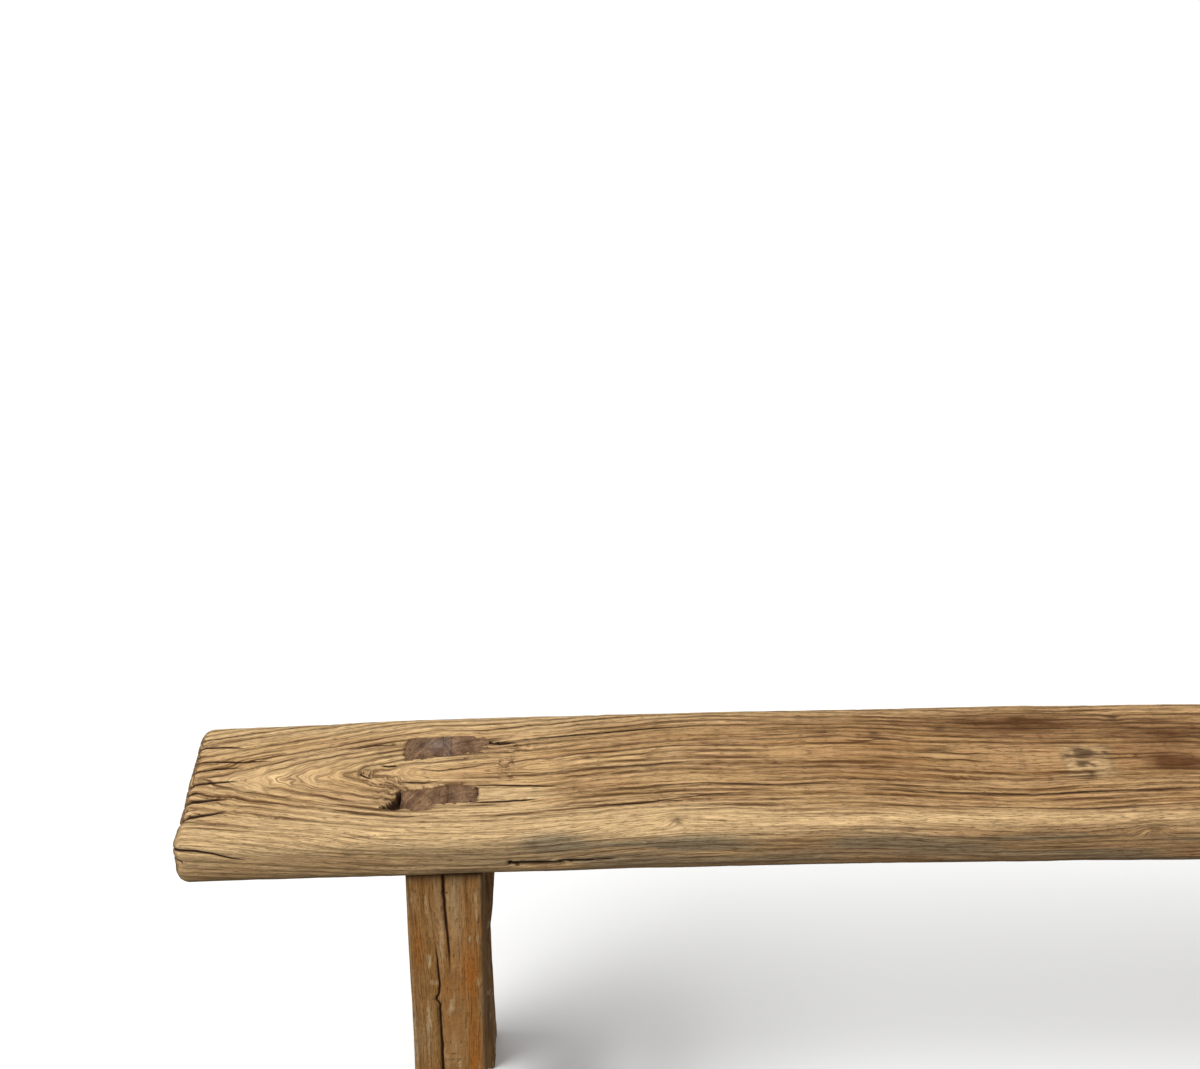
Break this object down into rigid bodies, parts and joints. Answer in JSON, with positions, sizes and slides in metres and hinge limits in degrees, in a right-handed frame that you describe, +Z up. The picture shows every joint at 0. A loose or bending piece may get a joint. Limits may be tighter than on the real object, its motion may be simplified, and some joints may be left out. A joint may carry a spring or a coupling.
{
  "type": "long narrow bench",
  "caption": "Long narrow rustic bench: a thick plank seat on splayed square legs with wedged through tenons, joined by cross stretchers near each end.",
  "frame": {"origin": "centre of the bench's footprint, on the floor", "axes": "+X along the seat towards its right end, +Y from the front long side to the rear one, +Z up"},
  "size_m": [1.26, 0.2904, 0.5],
  "materials": {
    "seat_elm": "weathered, raised grain, dry",
    "leg_elm": "weathered, checked, orange streaks",
    "rail_elm": "weathered, dry",
    "wedge_wood": "end grain, dark, dry"
  },
  "bodies": {
    "root": {"seat": "seat_elm", "leg_front_left": "leg_elm", "leg_front_right": "leg_elm", "leg_rear_left": "leg_elm", "leg_rear_right": "leg_elm", "rail_upper_left": "rail_elm", "rail_upper_right": "rail_elm", "rail_lower_left": "rail_elm", "rail_lower_right": "rail_elm", "wedge_front_left": "wedge_wood", "wedge_front_right": "wedge_wood", "wedge_rear_left": "wedge_wood", "wedge_rear_right": "wedge_wood"}
  },
  "joints": []
}
